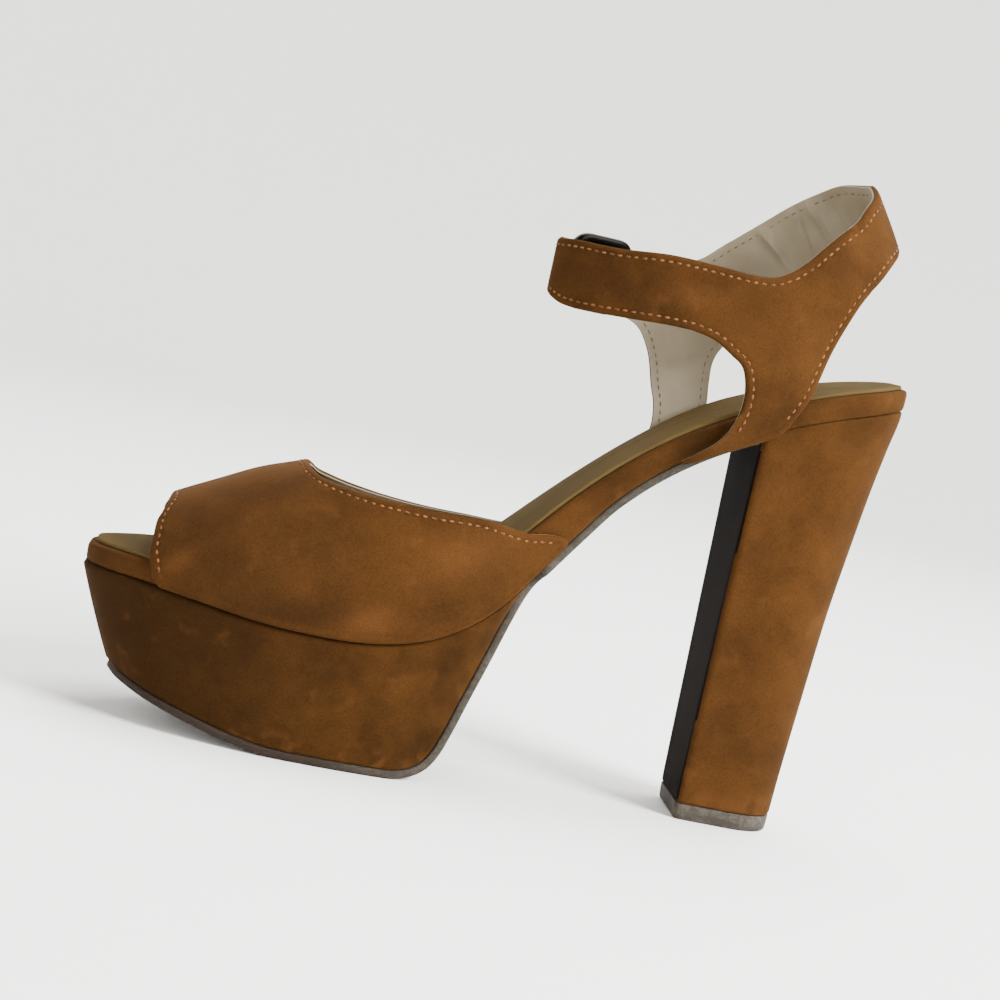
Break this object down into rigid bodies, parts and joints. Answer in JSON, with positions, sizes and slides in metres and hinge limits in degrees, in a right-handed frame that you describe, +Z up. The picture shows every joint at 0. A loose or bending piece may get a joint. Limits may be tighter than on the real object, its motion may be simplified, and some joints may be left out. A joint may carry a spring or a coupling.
{
  "type": "platform shoe",
  "caption": "Open-toed platform sandal with a high block heel, a wide vamp, a forked back strap and a buckled ankle strap.",
  "frame": {"origin": "centre of the heel tip's face on the floor", "axes": "+X forward to the toe along the shoe, +Y to the inner (medial) side of this right shoe, +Z up"},
  "size_m": [0.222, 0.0842, 0.1918],
  "materials": {
    "suede": "brown suede with a short nap",
    "lining": "smooth olive-beige lining leather",
    "outsole_rubber": "matt grey rubber sheet",
    "tip_rubber": "matt grey rubber",
    "buckle_metal": "dark plated metal"
  },
  "bodies": {
    "root": {"outsole": "outsole_rubber", "platform": "suede", "board": "suede", "insole_sock": "lining", "heel_block": "suede", "heel_tip": "tip_rubber", "vamp": "suede", "inner_quarter_strap": "suede", "outer_quarter": "suede", "buckle_frame": "buckle_metal", "buckle_prong": "buckle_metal", "buckle_tab": "suede"}
  },
  "joints": []
}
